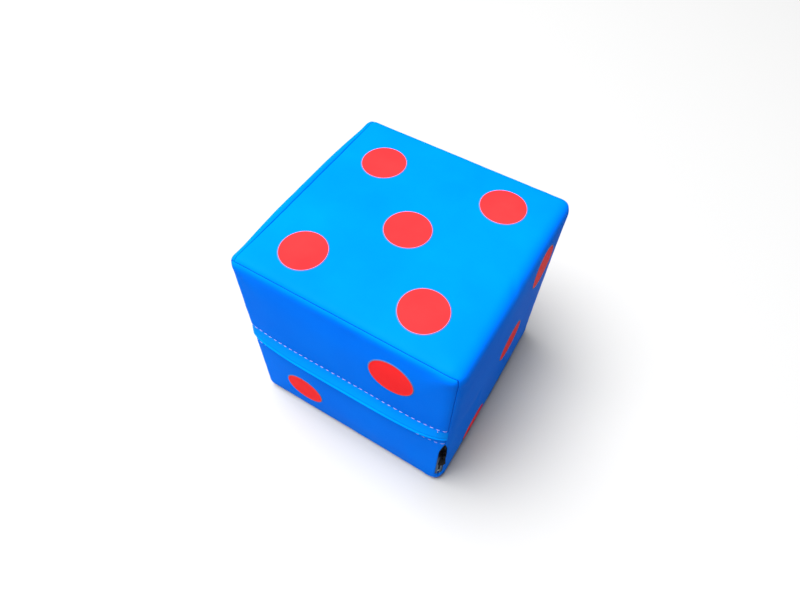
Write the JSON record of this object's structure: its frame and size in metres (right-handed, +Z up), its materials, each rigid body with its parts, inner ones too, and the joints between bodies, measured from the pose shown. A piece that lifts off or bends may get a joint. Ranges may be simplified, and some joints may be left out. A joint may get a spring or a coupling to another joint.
{
  "type": "giant soft dice",
  "caption": "Large soft play die: foam cube in a stitched blue vinyl zip cover with red welded spots, a zip flap and a black zip pull",
  "frame": {"origin": "middle of the base face, on the ground", "axes": "+Z up, -Y out of the front face with the zip flap, +X out of the right face"},
  "size_m": [0.2003, 0.2022, 0.2],
  "materials": {
    "cover_vinyl": "smooth coated fabric with a soft sheen",
    "pip_vinyl": "smooth red vinyl, heat welded",
    "foam": "open cell foam",
    "zip_tape": "woven grey tape",
    "zip_coil": "grey nylon coil",
    "zip_metal": "plain steel",
    "black_enamel": "black enamel",
    "pale_thread": "pale sewing thread",
    "blue_thread": "blue sewing thread"
  },
  "bodies": {
    "cover": {"back_panel": "cover_vinyl", "foam_core": "foam", "front_lower_panel": "cover_vinyl", "front_upper_panel": "cover_vinyl", "pip_back_left_high": "pip_vinyl", "pip_back_left_low": "pip_vinyl", "pip_back_left_middle": "pip_vinyl", "pip_back_right_high": "pip_vinyl", "pip_back_right_low": "pip_vinyl", "pip_back_right_middle": "pip_vinyl", "pip_bottom_centre": "pip_vinyl", "pip_front_lower_left": "pip_vinyl", "pip_front_upper_right": "pip_vinyl", "pip_left_front_high": "pip_vinyl", "pip_left_front_low": "pip_vinyl", "pip_left_rear_high": "pip_vinyl", "pip_left_rear_low": "pip_vinyl", "pip_right_centre": "pip_vinyl", "pip_right_front_low": "pip_vinyl", "pip_right_rear_high": "pip_vinyl", "pip_top_centre": "pip_vinyl", "pip_top_front_left": "pip_vinyl", "pip_top_front_right": "pip_vinyl", "pip_top_rear_left": "pip_vinyl", "pip_top_rear_right": "pip_vinyl", "seam_thread_back": "blue_thread", "seam_thread_closing": "blue_thread", "seam_thread_front": "blue_thread", "topstitch_lower": "pale_thread", "topstitch_upper": "pale_thread", "wrap_strip": "cover_vinyl", "zip_coil_inner": "zip_coil", "zip_coil_outer": "zip_coil", "zip_stop_left": "zip_metal", "zip_stop_low": "zip_metal", "zip_tape_inner": "zip_tape", "zip_tape_outer": "zip_tape"},
    "flap": {"zip_flap": "cover_vinyl"},
    "slider": {"zip_slider": "black_enamel"},
    "pull": {"zip_pull": "black_enamel"}
  },
  "joints": [
    {"name": "flap_lift", "type": "hinge", "parent": "cover", "child": "flap", "pos_m": [0, -0.1002, 0.1102], "axis": [-1, 0, 0], "range_deg": [0, 60], "stiffness_Nm_per_rad": 0.01},
    {"name": "slider_travel", "type": "slide", "parent": "cover", "child": "slider", "axis": [0, 0, -1], "range_m": [0, 0.04]},
    {"name": "pull_swing", "type": "hinge", "parent": "slider", "child": "pull", "pos_m": [0.09766, -0.09766, 0.06645], "axis": [-0.7071, -0.7071, 0], "range_deg": [0, 170]}
  ]
}
